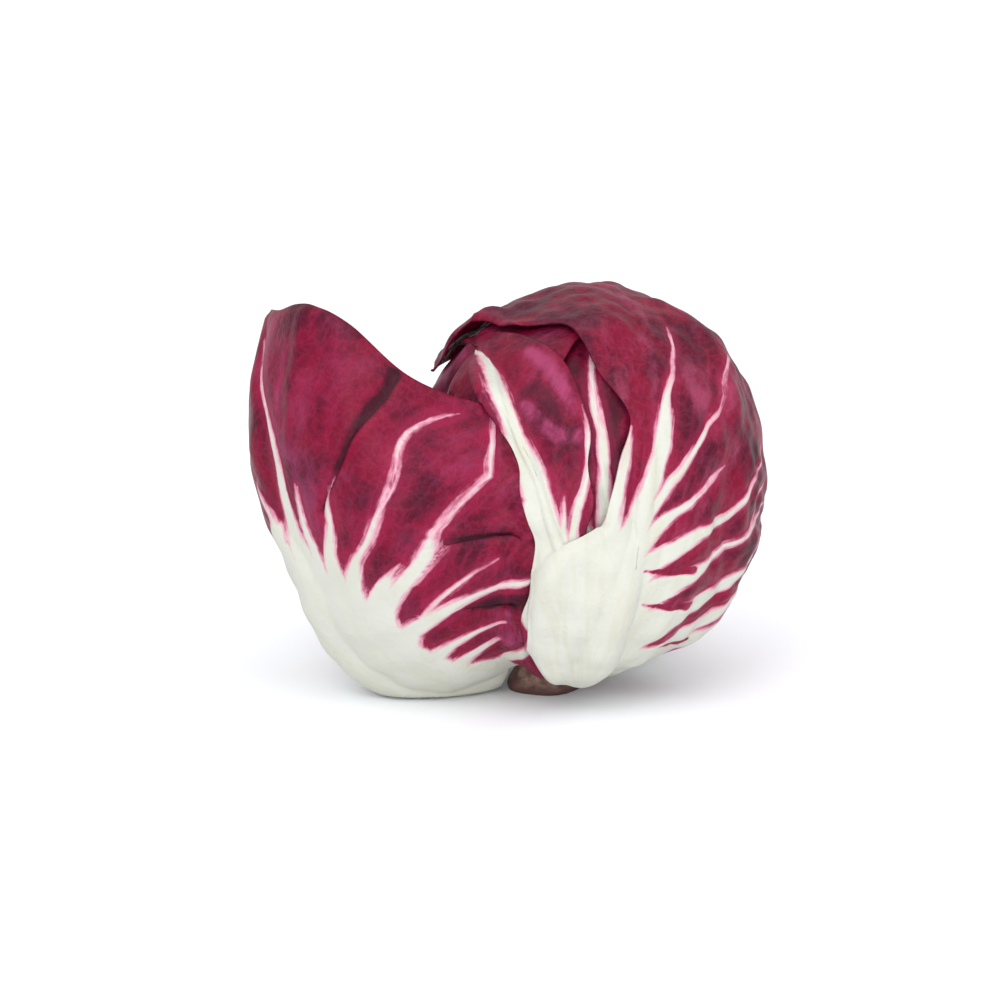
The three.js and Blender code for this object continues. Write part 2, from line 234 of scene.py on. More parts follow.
def layRadius(way, drape):
    # The heart, plus for every leaf laid so far its room, the air and its lift, each times its cover
    radius = headRadius(way) * head["heartShare"]
    for leaf in laid:
        theta, psi = anglesOf(leaf, way)
        lift = curlLift(leaf, theta, psi)
        over = cover(leaf, theta, psi, drape)
        if "bow" in leaf:
            reach = np.minimum(springLift(leaf, way, radius), head["sprungReach"])
            lift = lift + reach * ease(2 * over - 1)
        radius = radius + (bulk(leaf, theta, psi) + head["leafAir"] + lift) * over
    return radius


def stepsOf(line):
    # A line of (theta, psi, half width) points, made smooth over its chord length and cut into short steps
    points = np.array(line, float)
    chord = np.r_[0, np.cumsum(np.hypot(*np.diff(points[:, :2], axis=0).T))]
    t = np.linspace(0, chord[-1], int(chord[-1] / surface["lineStep"]) + 2)
    return [smoothLine(np.c_[chord, points[:, k]], t) for k in range(3)]


def besideLine(leaf, line, way, radius):
    # Half width minus distance to a line, in mm: distance on the unit sphere to each step, times the radius.
    # With it how far to the line's side, and how far along it, that place is
    theta, psi, half = stepsOf(line)
    ends = wayOf(leaf, theta, psi)
    a, d = ends[:-1], np.diff(ends, axis=0)
    flat, size = way.reshape(-1, 3), (d * d).sum(1)
    along = flat @ d.T - (a * d).sum(1)
    t = np.clip(along / size, 0, 1)
    gap = np.sqrt(np.maximum(2 - 2 * flat @ a.T - 2 * t * along + t * t * size, 0)) * radius.reshape(-1, 1)
    inside = half[:-1] + t * np.diff(half) - gap
    best = inside.argmax(1)[:, None]
    run = (np.r_[0, np.cumsum(np.sqrt(size))[:-1]] + t * np.sqrt(size)) * radius.mean()
    gap = gap * np.sign(flat @ np.cross(a, d).T)
    return [np.take_along_axis(each, best, 1).reshape(radius.shape) for each in (inside, gap, run)]


def insideLine(leaf, line, way, radius):
    # Only the half width minus the distance
    return besideLine(leaf, line, way, radius)[0]


# Waves over the sphere: how many, their range of turns, their largest phase and the height of their sum
waves = {"count": 7, "turns": (0.7, 1.4), "phase": 6.28, "height": 3.7}


def waviness(way, scale, seed):
    # Sum of sine waves in random directions over the sphere, about -1 to 1
    draw = np.random.default_rng(seed)
    count = waves["count"]
    turns = unit(draw.normal(size=(count, 3))) * draw.uniform(*waves["turns"], (count, 1)) / scale
    phase = draw.uniform(0, waves["phase"], count)
    return np.sin(way @ turns.T * 2 * np.pi + phase).sum(-1) / waves["height"]


def blurred(grid, passes):
    # Repeated 1-2-1 averages along both directions, ends repeated
    for k in range(passes):
        for axis in (0, 1):
            wide = np.pad(grid, [(1, 1) if side == axis else (0, 0) for side in (0, 1)], "edge")
            ahead = np.take(wide, range(2, wide.shape[axis]), axis)
            behind = np.take(wide, range(wide.shape[axis] - 2), axis)
            grid = (ahead + behind + 2 * grid) / 4
    return grid


def spread(count, density):
    # Places from -1 to 1 at even shares of the summed density line, so closer together where it is higher
    samples = 801
    x = np.linspace(-1, 1, samples)
    total = np.cumsum(np.interp(x, *np.array(density, float).T))
    return np.interp(np.linspace(total[0], total[-1], count), total, x)


def meshPiece(name, points, quads):
    # Points in millimetres and rows of four corners become one smooth mesh in metres
    mesh = bpy.data.meshes.new(name)
    mesh.vertices.add(len(points))
    mesh.vertices.foreach_set("co", (points * mm).astype(np.float32).ravel())
    mesh.loops.add(quads.size)
    mesh.loops.foreach_set("vertex_index", quads.astype(np.int32).ravel())
    mesh.polygons.add(len(quads))
    mesh.polygons.foreach_set("loop_start", np.arange(0, quads.size, 4, dtype=np.int32))
    mesh.update(calc_edges=True)
    mesh.shade_smooth()
    piece = bpy.data.objects.new(name, mesh)
    bpy.context.scene.collection.objects.link(piece)
    return piece


def setField(piece, name, values):
    # One number or one vector for each point
    kind = "FLOAT" if values.ndim == 1 else "FLOAT_VECTOR"
    field = piece.data.attributes.new(name, kind, "POINT")
    field.data.foreach_set("value" if values.ndim == 1 else "vector", values.astype(np.float32).ravel())


def gridQuads(rows, columns):
    # Two sheets of the same grid, the second one outside, joined along the rim
    at = np.arange(rows * columns).reshape(rows, columns)
    a, b, c, d = at[:-1, :-1], at[:-1, 1:], at[1:, 1:], at[1:, :-1]
    size = at.size
    outer = np.stack([a, b, c, d], -1).reshape(-1, 4) + size
    inner = np.stack([a, d, c, b], -1).reshape(-1, 4)
    rim = np.r_[at[0, :-1], at[:-1, -1], at[-1, :0:-1], at[:0:-1, 0]]
    ahead = np.roll(rim, -1)
    return np.r_[inner, outer, np.stack([rim, ahead, ahead + size, rim + size], -1)]


# Laterals: ranges of reach, climb and half width, then their course as shares of climb, reach and half width
lateral = {
    "free": 12,  # degrees below the tip without them
    "reach": (0.8, 0.95),
    "climb": (0.85, 1.15),
    "half": (0.7, 1.1),
    "thinning": 0.6,
    "root": (6, 1.8),  # degrees below the place where it leaves the midrib, and share of half width there
    "course": [(0.25, 0.35, 1.0), (0.6, 0.7, 0.5)],
    "end": 0.05,
    "twig": [(0.35, 0.45, 0.6), (0.55, 0.5, 0.35), (0.75, 0.53, 0.0)],
    "rib": (9, 1.3, 0.1),  # points, power of the narrowing and last half width of the midrib's own line
}


def sideVeins(leaf):
    # Fine laterals leave the midrib in turn on either side and bend towards the tip, each with one twig
    rule = leaf["laterals"]
    last = smoothLine(leaf["tip"], 0.0)
    lines = []
    stop = rule.get("stop", last - lateral["free"])
    below, wide = lateral["root"]
    for k, theta in enumerate(np.arange(leaf["start"] + rule["first"], stop, rule["every"])):
        side = "left" if k % 2 else "right"
        mid = float(smoothLine(leaf["mid"], theta))
        reach = (float(marginOf(leaf, side, theta)) - mid) * rng.uniform(*lateral["reach"])
        climb = rule["climb"] * rng.uniform(*lateral["climb"])
        half = rule["half"] * rng.uniform(*lateral["half"]) * (1 - lateral["thinning"] * theta / last)
        course, twig = [[(theta + climb * up, mid + reach * out, half * share)
                         for up, out, share in lateral[part]] for part in ("course", "twig")]
        end = (theta + climb, mid + reach, lateral["end"])
        lines.append([(theta - below, mid, half * wide), *course, end])
        lines.append(twig)
    count, power, last = lateral["rib"]
    t = np.linspace(leaf["start"], stop, count)
    left = 1 - (t - t[0]) / (t[-1] - t[0])
    lines.append(list(zip(t, smoothLine(leaf["mid"], t), rule["rib"] * left ** power + last)))
    return lines


def leafGrid(leaf):
    # Across runs from margin to margin, along runs from foot to tip. With theta and psi comes the angle to
    # the rim: the smallest of the ways to both margins, the tip and one degree below the foot
    shown = {**leaf, **leaf.get("shown", {})}
    rows, columns = leaf["grid"]
    middle = np.linspace(leaf["start"], float(smoothLine(leaf["tip"], 0.0)), 30)
    widths = [np.mean(smoothLine(leaf["mid"], middle) - marginOf(shown, "left", middle)),
              np.mean(marginOf(shown, "right", middle) - smoothLine(leaf["mid"], middle))]
    density = [(-1, widths[0]), (-0.001, widths[0]), (0.001, widths[1]), (1, widths[1])]
    across = spread(columns, density)[None]
    along = (spread(rows, leaf["closer"])[:, None] + 1) / 2
    foot, tip = smoothLine(shown["foot"], across), smoothLine(shown["tip"], across)
    theta = foot + (tip - foot) * along
    mid = smoothLine(leaf["mid"], theta)
    left, right = marginOf(shown, "left", theta), marginOf(shown, "right", theta)
    psi = mid + np.where(across < 0, mid - left, right - mid) * across
    rim = np.minimum(np.minimum(psi - left, right - psi), tip - theta)
    return theta, psi, np.minimum(rim, theta - foot + 1)


def lieOn(leaf, theta, psi, way):
    # Inner radius: the leaves below plus the leaf's own curl and, where it is sprung, its lift
    radius = layRadius(way, leaf.get("drape", head["drape"])) + curlLift(leaf, theta, psi)
    if "bow" in leaf:
        radius = radius + springLift(leaf, way, radius)
    if "fall" in leaf:  # no steeper way down towards the tip than this many mm a degree
        radius = np.maximum.accumulate(radius + leaf["fall"] * theta, 0) - leaf["fall"] * theta
    if "smooth" in leaf:  # grooves over hidden margins fill up, ridges stay
        radius = np.maximum(blurred(radius, leaf["smooth"]), radius - surface["ridgeLoss"])
    return radius


def veinFields(leaf, way, radius):
    # Signed mm, above 0 inside a vein: the largest of all lines, less what the tongues of burgundy cut away.
    # With it the place beside the nearest line: gap, run, and a number of its own for each line
    lines = leaf["veins"] + (sideVeins(leaf) if "laterals" in leaf else [])
    vein = np.full(radius.shape, surface["unreached"])
    beside = np.zeros((*radius.shape, 3))
    for k, line in enumerate(lines):
        inside, gap, run = besideLine(leaf, line, way, radius)
        place = np.stack([gap, run, gap * 0 + surface["lineGap"] * k], -1)
        beside = np.where((inside > vein)[..., None], place, beside)
        vein = np.maximum(vein, inside)
    vein = np.maximum(vein, surface["deepest"])
    for line in leaf.get("tongues", []):
        vein = np.minimum(vein, -surface["tongueCut"] * insideLine(leaf, line, way, radius))
    return vein, beside


def paintedLightAndShadeField(leaf, way, radius):
    # Sum of the strokes of painted light and shade, each its amount eased out over its soft rim: above 0
    # painted highlight, below 0 painted shade
    paintedLightAndShade = np.zeros(radius.shape)
    for amount, soft, line in leaf.get("lightAndShadeStrokes", []):
        paintedLightAndShade = paintedLightAndShade + amount * ease(1 + insideLine(leaf, line, way, radius) / soft)
    return paintedLightAndShade


def foldBlade(leaf, way, radius, vein, margin):
    # Radius plus swelling between veins, slow waves and folds, less what the leaf sinks into the one below
    gap, over, middle = surface["swell"]
    share, length = surface["wave"]
    swell = ease((-vein - gap) / over) - middle
    fold = leaf["pucker"] * (swell + share * waviness(way, length, leaf["seed"]))
    for depth, line in leaf.get("folds", []):
        widest = max(point[2] for point in line)
        fold = fold + depth * ease(insideLine(leaf, line, way, radius) / widest)
    least, rise = surface["foldRise"]
    radius = radius + fold * ease(least + margin / rise)
    for depth, line in leaf.get("sink", []):
        widest = max(point[2] for point in line)
        radius = radius - depth * ease(insideLine(leaf, line, way, radius) / widest)
    return radius


def bladeSheets(leaf, theta, psi, way, radius, vein, margin):
    # Inner sheet on the radius, kept above the floor. Outer sheet: inner plus thickness and vein relief
    # along the normal, the cross product of the two grid directions
    share, over = head["marginThin"]
    thick = thickness(leaf, theta, psi) * (share + (1 - share) * ease(margin / over))
    before, width = surface["reliefEdge"]
    thick = thick + surface["relief"] * ease((vein + before) / width)
    room = (head["centre"][2] - head["floorAir"] - thick) / np.maximum(-way[..., 2], 1e-3)
    radius = np.where(way[..., 2] < 0, np.minimum(radius, room), radius)
    inner = head["centre"] + way * radius[..., None]
    side = np.gradient(inner, axis=1)
    up = np.gradient(inner, axis=0)
    outer = inner + unit(np.cross(side, up)) * thick[..., None]
    outer[..., 2] = np.maximum(outer[..., 2], head["lowest"])
    return np.r_[inner.reshape(-1, 3), outer.reshape(-1, 3)]


def buildLeaf(name, leaf):
    leaf["out"], leaf["aside"] = planeOf(leaf["azimuth"])
    leaf.setdefault("foot", [[-1, leaf["start"]], [1, leaf["start"]]])
    theta, psi, rim = leafGrid(leaf)
    way = wayOf(leaf, theta, psi)
    radius = lieOn(leaf, theta, psi, way)
    margin = rim * degree * radius
    vein, beside = veinFields(leaf, way, radius)
    paintedLightAndShade = paintedLightAndShadeField(leaf, way, radius)
    radius = foldBlade(leaf, way, radius, vein, margin)
    points = bladeSheets(leaf, theta, psi, way, radius, vein, margin)

    # Fan: angle about the foot and distance from it, for what runs along the leaf
    ahead = theta - leaf.get("fanFrom", surface["fanFrom"])
    fan = np.stack([np.arctan2(psi, ahead) / degree, np.hypot(psi, ahead), psi * 0 + leaf["seed"]], -1)
    piece = meshPiece(name + "_blade", points, gridQuads(*leaf["grid"]))
    setField(piece, "vein", np.tile(vein.ravel(), 2))
    setField(piece, "paintedLightAndShade", np.tile(paintedLightAndShade.ravel(), 2))
    setField(piece, "beside", np.tile(beside.reshape(-1, 3), (2, 1)))
    setField(piece, "fan", np.tile(fan.reshape(-1, 3), (2, 1)))
    piece.data.materials.append(leafMaterial(name, leaf["look"]))
    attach(piece, "root")
    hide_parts(name)
    laid.append(leaf)
    print(name, "built:", len(piece.data.polygons) * 2, "triangles")


def tint(red, green, blue):
    # Linear colour from 8-bit sRGB
    c = np.array([red, green, blue]) / 255
    return (*np.where(c <= 0.04045, c / 12.92, ((c + 0.055) / 1.055) ** 2.4).tolist(), 1.0)


class Shader:
    # Short hands for one material's nodes
    def __init__(self, name):
        self.material = bpy.data.materials.new(name)
        self.material.use_nodes = True
        self.tree = self.material.node_tree
        self.tree.nodes.clear()

    def put(self, kind, inputs=None, **settings):
        node = self.tree.nodes.new("ShaderNode" + kind)
        for key, value in settings.items():
            setattr(node, key, value)
        for key, value in (inputs or {}).items():
            if isinstance(value, bpy.types.NodeSocket):
                self.tree.links.new(value, node.inputs[key])
            else:
                node.inputs[key].default_value = value
        return node

    def field(self, name, output="Fac"):
        return self.put("Attribute", attribute_name=name).outputs[output]

    def math(self, operation, a, b=0.0):
        return self.put("Math", {0: a, 1: b}, operation=operation).outputs[0]

    def steps(self, value, low, high, top=1.0):
        # Smooth step from 0 at low to top at high
        inputs = {"Value": value, "From Min": low, "From Max": high, "To Max": top}
        return self.put("MapRange", inputs, interpolation_type="SMOOTHSTEP").outputs[0]

    def mix(self, factor, a, b):
        return self.put("Mix", {0: factor, 6: a, 7: b}, data_type="RGBA").outputs[2]

    def noise(self, place, scale, detail=3.0, rough=0.5, stretch=(1, 1, 1)):
        moved = self.put("Mapping", {"Vector": place, "Scale": stretch}).outputs[0]
        inputs = {"Vector": moved, "Scale": scale, "Detail": detail, "Roughness": rough}
        return self.put("TexNoise", inputs).outputs[0]


def veinEdge(s, look, grain):
    # The vein field plus noise along each vein and fine grain, so that the pale parts end in streaks
    streak = s.noise(s.field("beside", "Vector"), 1.0, 4.0, 0.6, (0.75, 0.06, 1))
    streaks = s.math("MULTIPLY", s.math("SUBTRACT", streak, 0.5), look["streak"])
    grains = s.math("MULTIPLY", s.math("SUBTRACT", grain, 0.5), look["grain"])
    return s.math("ADD", s.math("ADD", s.field("vein"), streaks), grains)


def cellEdges(s, place):
    # Distance to the edges of small cells whose places are bent by noise: the finest net of veins
    warp = s.put("TexNoise", {"Vector": place, "Scale": 160.0, "Detail": 3.0}).outputs[1]
    bend = {0: warp, 1: (0.007, 0.007, 0.007), 2: place}
    bent = s.put("VectorMath", bend, operation="MULTIPLY_ADD").outputs[0]
    cells = {"Vector": bent, "Scale": 330.0, "Randomness": 1.0}
    return s.put("TexVoronoi", cells, feature="DISTANCE_TO_EDGE").outputs["Distance"]


def bladeColour(s, look, place, fan, edge, cells):
    # Two burgundies in clouds, mauve bloom partly painted as sheen, fibres along the leaf, pale net, flecks,
    # painted highlights and shade, rosy edge
    broad = s.math("ADD", s.noise(place, 55.0, 6.0, 0.7), s.noise(fan, 1.0, 5.0, 0.7, (0.12, 0.05, 1)))
    blade = s.mix(s.steps(broad, 0.86, 1.1), look["dark"], look["mid"])
    # Mauve bloom: partly the leaf's own waxy bloom, partly a painted sheen in place of highlights
    bloom = s.noise(fan, 1.0, 5.0, 0.65, (0.22, 0.05, 1))
    blade = s.mix(s.steps(bloom, 0.48, 0.78, look["bloom"]), blade, look["light"])
    # Painted light and shade from the strokes, broken up by the bloom's noise
    paintedLightAndShade = s.math("MULTIPLY", s.field("paintedLightAndShade"), s.math("ADD", s.steps(bloom, 0.35, 0.62), 0.25))
    fibre = s.noise(fan, 1.0, 3.0, 0.6, (0.9, 0.07, 1))
    blade = s.mix(s.steps(fibre, 0.5, 0.75, look["fibre"]), blade, look["rose"])
    blade = s.mix(s.steps(fibre, 0.48, 0.28, look["fibre"]), blade, look["deep"])
    blade = s.mix(s.steps(cells, 0.16, 0.0, look["net"]), blade, look["light"])
    fleck = s.noise(place, 900.0, 2.0)
    blade = s.mix(s.steps(fleck, 0.52, 0.72, 0.28), blade, look["dark"])
    # Painted highlight: light mauve where the strokes are above 0
    blade = s.mix(s.steps(paintedLightAndShade, 0.0, 1.0, 0.85), blade, look["light"])
    # Painted shade: deep burgundy where the strokes are below 0
    blade = s.mix(s.steps(paintedLightAndShade, 0.0, -1.0, 0.9), blade, look["deep"])
    return s.mix(s.steps(edge, -3.5, -0.3, 0.38), blade, look["rose"])


def leafMaterial(name, look):
    # Burgundy blade, pink beside the veins and creamy white in them, with wrinkles, cells and grain as bump
    s = Shader(name)
    place = s.put("TexCoord").outputs["Object"]
    fan = s.field("fan", "Vector")
    grain = s.noise(place, 420.0, 3.0)
    edge = veinEdge(s, look, grain)
    cells = cellEdges(s, place)
    blade = bladeColour(s, look, place, fan, edge, cells)
    cloud = s.noise(fan, 1.0, 3.0, 0.5, (0.3, 0.04, 1))
    white = s.mix(s.steps(cloud, 0.4, 0.7), look["white"], look["cream"])
    colour = s.mix(s.steps(edge, -0.6, 0.35), blade, look["pink"])
    colour = s.mix(s.steps(edge, 0.0, 1.1), colour, white)

    wrinkle = s.noise(place, 190.0, 3.0, 0.6)
    height = s.math("ADD", s.math("MULTIPLY", cells, 0.3), s.math("MULTIPLY", grain, 0.25))
    height = s.math("ADD", height, wrinkle)
    bump = s.put("Bump", {"Height": height, "Strength": look["bump"], "Distance": 0.0016}).outputs[0]
    rough = s.math("ADD", look["rough"], s.steps(edge, -1.0, 1.0, 0.1))
    shader = s.put("BsdfPrincipled", {"Base Color": colour, "Roughness": rough, "Normal": bump,
                                      "Specular IOR Level": look["gloss"]})
    s.put("OutputMaterial", {"Surface": shader.outputs[0]})
    return s.material


def leafLook(**changes):
    # Colours and strengths of the marks on a leaf
    look = {
        # deep: the dark fibres, and the painted shade where the strokes of light and shade are below 0
        "deep": tint(42, 2, 20),
        "dark": tint(74, 2, 30),
        "mid": tint(113, 3, 39),
        # light: mauve of the bloom and the fine net, and the painted highlights where the strokes are above
        # 0
        "light": tint(152, 58, 98),
        "rose": tint(150, 30, 70),
        "pink": tint(200, 134, 156),
        "white": tint(192, 193, 184),
        "cream": tint(189, 189, 175),
        "streak": 3.4,
        "grain": 0.8,
        "bloom": 0.4,
        "fibre": 0.3,
        "net": 0.09,
        "bump": 0.3,
        "rough": 0.42,
        "gloss": 0.14,
    }
    look.update(changes)
    return look


evenly = [(-1, 1), (1, 1)]

# The heart: packed young leaves that wind up to the crown
heart = {
    "grid": (150, 170),
    "winds": 3,
    "climb": 75.0,
    "fold": 2.2,
    "steps": (0.8, 0.2, 40),  # shares of a leaf over which it rises and drops, and theta where it is whole
    "white": (7, 4, 3, 2.2),  # white at the foot in mm, degrees that take 1 mm of it, waves and their length
    "paintedLightAndShade": -0.2,  # painted shade all over
    "seed": 3,
    # More bloom, partly painted sheen
    "look": leafLook(bloom=0.6),
}


def roundWay(theta, turn):
    # Unit direction: theta degrees from the stem, turned round it by so many radians
    out, aside = planeOf(head["ringAzimuth"])
    side = np.cos(turn)[..., None] * out + np.sin(turn)[..., None] * aside
    return np.cos(theta * degree)[..., None] * stemWay + np.sin(theta * degree)[..., None] * side


def ringQuads(rings, sides):
    # Rings of points closed at either end by a ring of no width, faces outwards
    at = np.arange(rings * sides).reshape(rings, sides)
    a, d = at[:-1], at[1:]
    return np.stack([a, np.roll(a, -1, 1), np.roll(d, -1, 1), d], -1).reshape(-1, 4)


def closedRings(rings):
    # A skin from rings, its first and last ring drawn in to a small one and closed to their own middle
    small = 0.02
    ends = [np.repeat(ring.mean(0, keepdims=True), len(ring), 0) for ring in (rings[0], rings[-1])]
    low = ends[0] + (rings[0] - ends[0]) * small
    high = ends[1] + (rings[-1] - ends[1]) * small
    rings = np.concatenate([low[None], rings, high[None]])
    count, sides = rings.shape[:2]
    points = np.r_[rings.reshape(-1, 3), ends[0][:1], ends[1][:1]]
    first, last = count * sides, count * sides + 1
    j = np.arange(0, sides, 2)
    lowCap = np.stack([np.full(len(j), first), (j + 2) % sides, j + 1, j], -1)
    highCap = np.stack([np.full(len(j), last), j, j + 1, (j + 2) % sides], -1)
    highCap[:, 1:] += (count - 1) * sides
    return points, np.r_[ringQuads(count, sides), lowCap, highCap]


def buildHeart(piece):
    # Radius of the heart less a fold that rises and drops along each winding leaf
    rows, columns = piece["grid"]
    theta = np.linspace(1, 179, rows)[:, None] + np.zeros(columns)
    turn = np.linspace(0, 2 * np.pi, columns, endpoint=False)[None] + np.zeros((rows, 1))
    way = roundWay(theta, turn)
    winding = turn / (2 * np.pi) * piece["winds"] + theta / piece["climb"]
    step = winding % 1
    rise, drop, whole = piece["steps"]
    fold = piece["fold"] * ease(step / rise) * ease((1 - step) / drop) * ease(theta / whole)
    radius = headRadius(way) * head["heartShare"] - head["leafAir"] - piece["fold"] + fold
    points, quads = closedRings(head["centre"] + way * radius[..., None])
    skin = meshPiece("heart_skin", points, quads)
    most, fade, wave, length = piece["white"]
    place = np.stack([turn, turn * 0, turn * 0], -1)
    vein = most - theta / fade + wave * waviness(place, length, piece["seed"])
    fan = np.stack([turn * 57.3, theta, theta * 0], -1).reshape(-1, 3)
    # The end rings and middles repeat their nearest ring
    count = rows * columns
    order = np.r_[np.arange(columns), np.arange(count), np.arange(count - columns, count), 0, count - 1]
    setField(skin, "vein", np.clip(vein, -9, 9).ravel()[order])
    setField(skin, "paintedLightAndShade", (theta * 0 + piece["paintedLightAndShade"]).ravel()[order])
    setField(skin, "fan", fan[order])
    setField(skin, "beside", fan[order])
    skin.data.materials.append(leafMaterial("heart", piece["look"]))
    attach(skin, "root")
    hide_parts("heart")
    print("heart built:", len(skin.data.polygons) * 2, "triangles")


# The cut stem
stem = {
    "angle": 11.2,
    "sides": 120,
    "rows": 40,
    "rings": [(0, 0.84), (0.15, 0.92), (0.4, 0.9), (0.65, 0.93), (0.88, 0.98), (1, 0.9)],
    "lobes": (5, 0.03),
    "face": (0.1, 0.95, 10),  # shares of the cut's radius at its first and last ring, and their number
    "air": 0.4,
    "bark": tint(104, 68, 62),
    "pale": tint(150, 122, 108),
    "cut": tint(92, 58, 52),
    "cutDark": tint(56, 32, 32),
    "grain": 300.0,
    "ringTurn": 2600.0,  # radians a metre from the middle of the cut
    "ringWander": 0.002,
    "bump": (0.6, 0.0006),  # strength and depth
    "rough": 0.75,
}


def buildStem(piece):
    # Rings from the cut face on the floor up to the heart, their angle times a sine for the lobes
    near = head["heartShare"] * headRadius(stemWay) - head["leafAir"] + piece["air"]
    share = np.linspace(1, 0, piece["rows"])[:, None]
    turn = np.linspace(0, 2 * np.pi, piece["sides"], endpoint=False)[None]
    count, depth = piece["lobes"]
    theta = piece["angle"] * smoothLine(piece["rings"], share) * (1 + depth * np.sin(turn * count))
    way = roundWay(theta, turn + theta * 0)
    reach = near + (head["centre"][2] / -way[..., 2] - near) * share
    rings = head["centre"] + way * reach[..., None]
    cut = rings[0].mean(0)
    face = cut + (rings[0] - cut) * np.linspace(*piece["face"])[:, None, None]
    points, quads = closedRings(np.concatenate([face, rings]))
    skin = meshPiece("stem_skin", points, quads)
    skin.data.materials.append(stemMaterial(piece, cut * mm))
    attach(skin, "root")
    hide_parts("stem")
    print("stem built:", len(skin.data.polygons) * 2, "triangles")


def stemMaterial(piece, cut):
    # Brown bark mottled by noise, and the cut face with rings: a sine of the distance from its middle
    s = Shader("stem")
    place = s.put("TexCoord").outputs["Object"]
    height = s.put("SeparateXYZ", {0: place}).outputs["Z"]
    rough = s.noise(place, piece["grain"], 5.0, 0.6)
    side = s.mix(s.steps(rough, 0.35, 0.65), piece["pale"], piece["bark"])
    away = s.put("VectorMath", {0: place, 1: tuple(cut)}, operation="DISTANCE").outputs["Value"]
    wandering = s.math("ADD", away, s.math("MULTIPLY", rough, piece["ringWander"]))
    ring = s.math("SINE", s.math("MULTIPLY", wandering, piece["ringTurn"]))
    face = s.mix(s.steps(ring, -0.6, 0.9, 0.6), piece["cut"], piece["cutDark"])
    low = s.steps(s.math("ADD", height, s.math("MULTIPLY", rough, -0.003)), 0.004, -0.001)
    colour = s.mix(low, side, face)
    strength, depth = piece["bump"]
    bump = s.put("Bump", {"Height": rough, "Strength": strength, "Distance": depth}).outputs[0]
    shader = s.put("BsdfPrincipled", {"Base Color": colour, "Roughness": piece["rough"], "Normal": bump})
    s.put("OutputMaterial", {"Surface": shader.outputs[0]})
    return s.material


buildStem(stem)
buildHeart(heart)

# Leaves from the inside out, in degrees. left, right and mid give psi at a theta, tip and foot give theta
# across the leaf. A line has (theta, psi, half width in mm). shown changes only the blade's own rim: the
# leaves over it keep to the CAD's. closer is how close the rows lie along the leaf

buildLeaf("inner_leaf_front", {
    "azimuth": -95, "start": 16, "blade": 1.0, "rib": (1.5, 4.5), "curl": 1.0, "waves": 3, "seed": 11,
    "left": [(16, -10), (60, -36), (100, -46), (140, -46), (172, -30)],
    "right": [(16, 13), (60, 34), (100, 36), (140, 32), (172, 20)],
    "mid": [(16, 2), (60, 12), (84, 11), (103, 2), (117, -3), (131, -7), (172, -12)],
    "tip": [(-1, 162), (0, 170), (1, 164)],
    "grid": (150, 110), "closer": [(-1, 0.6), (0, 1.2), (1, 1)],
    "veins": [
        [(16, 2, 9), (40, 8, 8), (66, 11, 4.5), (80, 9, 3), (92, 6, 2), (104, 3, 1.7), (113, 0, 1.5),
         (122, -4, 1.3), (129, -6, 0.9), (140, -8, 0.4), (150, -10, 0.1)],
        [(66, 11, 3), (85, 14, 1.2), (104, 13, 0.7), (120, 10, 0.3), (132, 8, 0.1)],
        [(66, 9, 3), (85, 1, 1.2), (104, -8, 0.7), (120, -16, 0.3)],
    ],
    "pucker": 0.5,
    # Painted shade: darker strokes on either side of the vein, where the leaf lies sunk between its
    # neighbours
    "lightAndShadeStrokes": [
        (-0.7, 6, [(90, 14, 5), (110, 10, 5), (128, 4, 5)]),
        (-0.7, 5, [(90, -4, 5), (110, -9, 5), (128, -14, 5)]),
    ],
    "look": leafLook(),
})

buildLeaf("back_leaf_left", {
    "azimuth": 122, "start": 15, "blade": 1.1, "rib": (2.2, 6), "curl": 1.2, "waves": 4, "seed": 12,
    "left": [(15, -13), (50, -44), (90, -58), (130, -54), (165, -34)],
    "right": [(15, 13), (50, 44), (90, 58), (130, 52), (165, 34)],
    "mid": [(15, 0), (90, 3), (165, -4)],
    "tip": [(-1, 150), (0, 164), (1, 152)],
    "grid": (160, 140), "closer": evenly,
    "veins": [
        [(15, 0, 10), (35, 1, 9), (60, 2, 5), (85, 3, 3), (120, 0, 1.4), (150, -3, 0.4)],
        [(22, 0, 8), (38, 14, 4), (55, 27, 2), (80, 38, 1), (105, 44, 0.3)],
        [(22, 0, 8), (38, -14, 4), (55, -26, 2), (80, -38, 1), (105, -45, 0.3)],
        [(22, 0, 6), (30, 14, 4), (38, 26, 2), (50, 38, 0.6)],
        [(22, 0, 6), (30, -14, 4), (38, -26, 2), (50, -38, 0.6)],
    ],
    "laterals": {"first": 25, "every": 9, "climb": 34, "half": 0.9, "rib": 3.0},
    "pucker": 0.6,
    "look": leafLook(),
})

buildLeaf("back_leaf_right", {
    "azimuth": 35, "start": 15, "blade": 1.1, "rib": (2.2, 6), "curl": 1.3, "waves": 4, "seed": 13,
    "heel": (4.6, 28, 50),
    "left": [(15, -13), (50, -44), (90, -60), (130, -56), (172, -36)],
    "right": [(15, 13), (50, 46), (90, 60), (130, 54), (172, 34)],
    "mid": [(15, 0), (90, -3), (172, 5)],
    "tip": [(-1, 160), (0, 172), (1, 160)],
    "grid": (160, 140), "closer": evenly,
    "veins": [
        [(15, 0, 10), (35, -1, 9), (60, -2, 5), (85, -3, 3), (120, 0, 1.4), (155, 4, 0.4)],
        [(22, 0, 8), (38, 13, 4), (55, 25, 2.2), (80, 36, 1.2), (105, 44, 0.4)],
        [(22, 0, 8), (38, -15, 4), (55, -28, 2.2), (80, -40, 1.2), (105, -47, 0.4)],
        [(22, 0, 6), (29, 14, 4), (38, 27, 2), (50, 39, 0.6)],
        [(22, 0, 6), (30, -14, 4), (37, -26, 2), (50, -40, 0.6)],
    ],
    "laterals": {"first": 25, "every": 8, "climb": 34, "half": 0.9, "rib": 3.0},
    "pucker": 0.6,
    "look": leafLook(),
})

